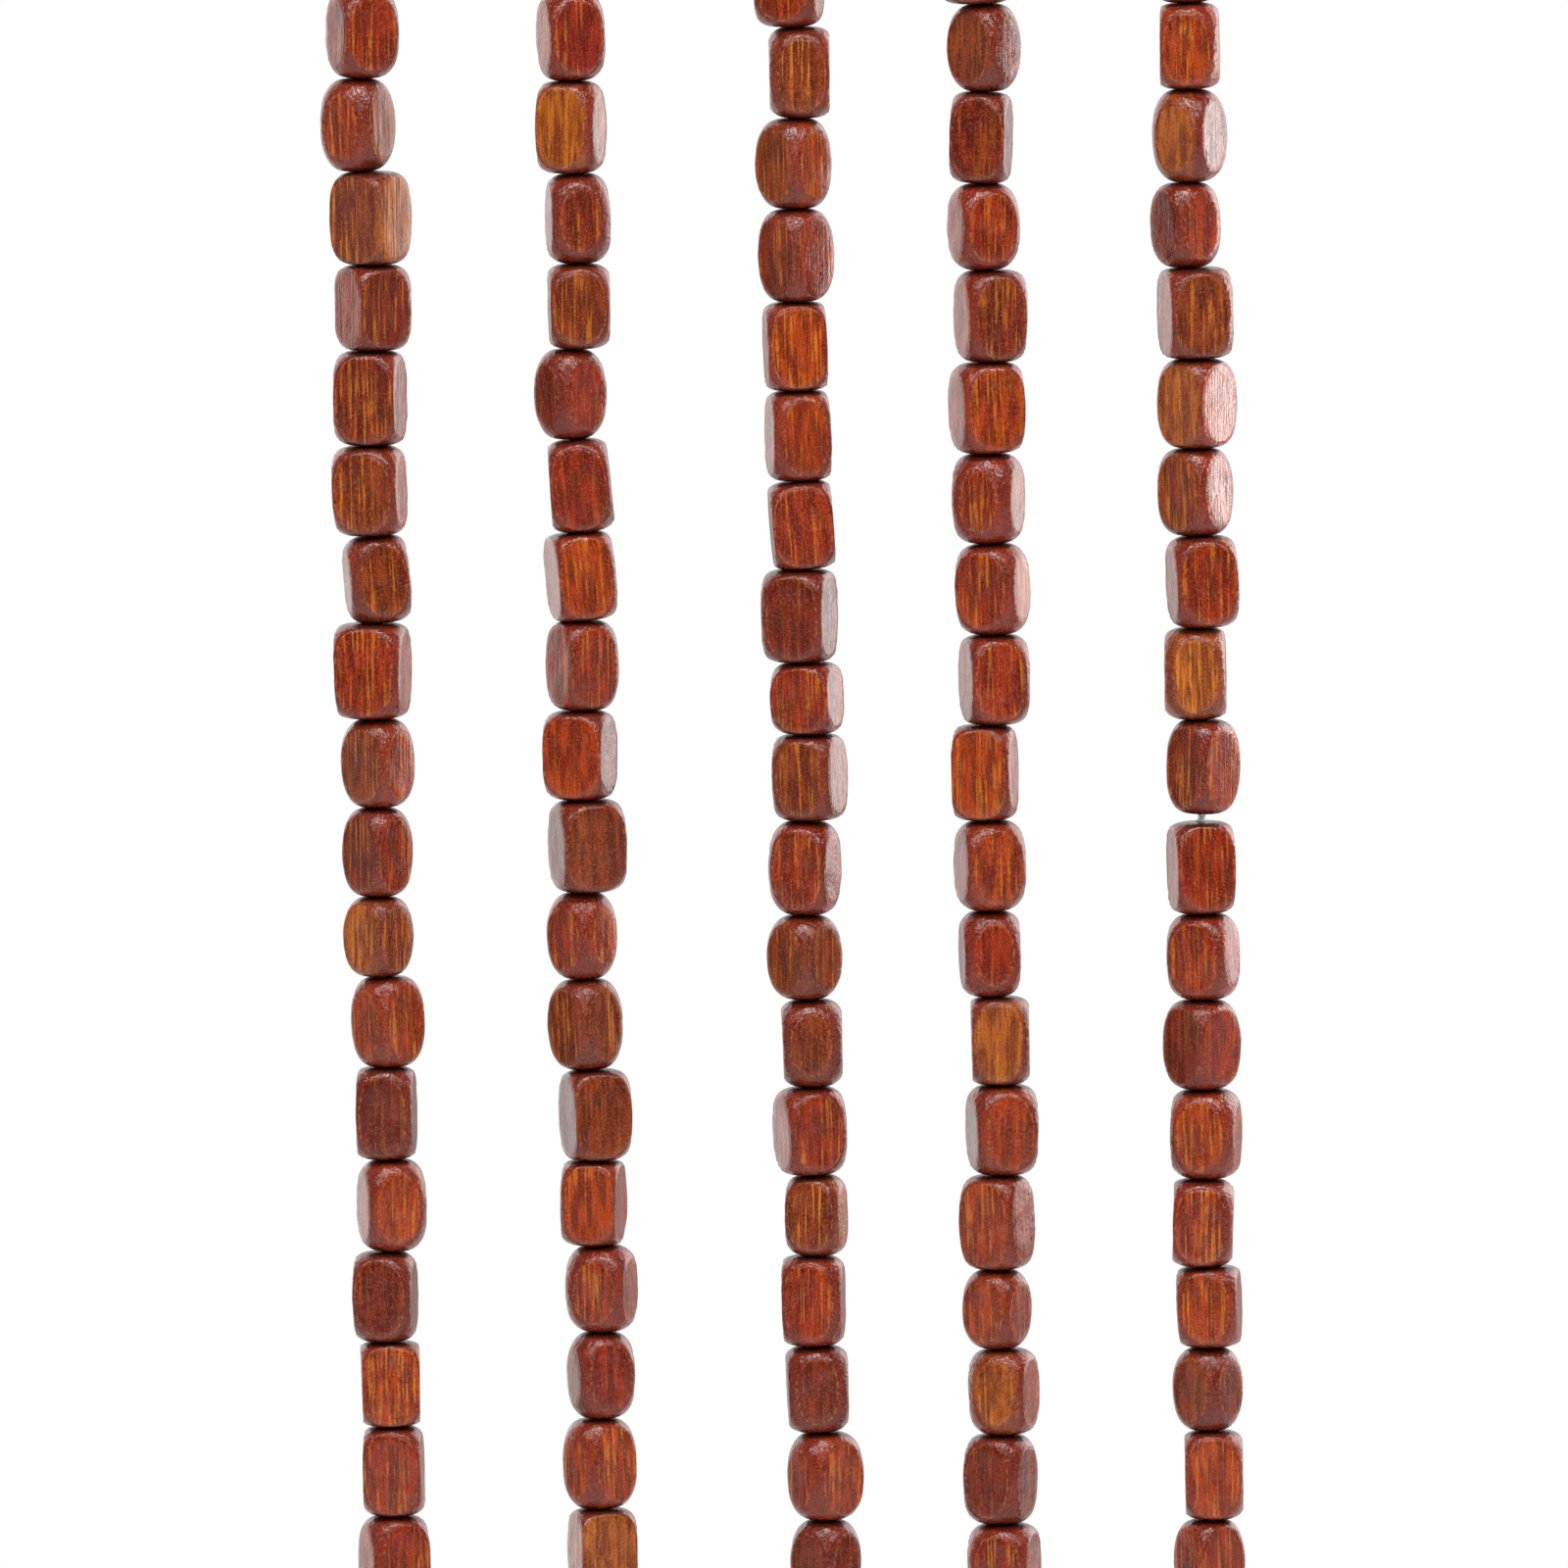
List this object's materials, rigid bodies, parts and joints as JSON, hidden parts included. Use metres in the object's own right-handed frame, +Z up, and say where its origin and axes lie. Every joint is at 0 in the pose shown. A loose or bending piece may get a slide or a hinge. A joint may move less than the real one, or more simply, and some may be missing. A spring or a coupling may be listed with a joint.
{
  "type": "bead curtain",
  "caption": "Cut length of a hanging curtain: plumb strands of tumbled, stained square wooden beads strung end to end and tied to a plain woven heading tape.",
  "frame": {"origin": "middle of the heading tape's top edge, half way through its thickness", "axes": "+Z up, the strands hang towards -Z; +X to the right seen from the front; the front faces -Y"},
  "size_m": [0.116, 0.0088, 0.2709],
  "materials": {
    "stained_wood": "red-brown dye under a worn satin lacquer",
    "heading_tape": "plain undyed woven cotton"
  },
  "bodies": {
    "root": {"heading_tape": "heading_tape", "strand_1": "stained_wood", "strand_2": "stained_wood", "strand_3": "stained_wood", "strand_4": "stained_wood", "strand_5": "stained_wood"}
  },
  "joints": []
}
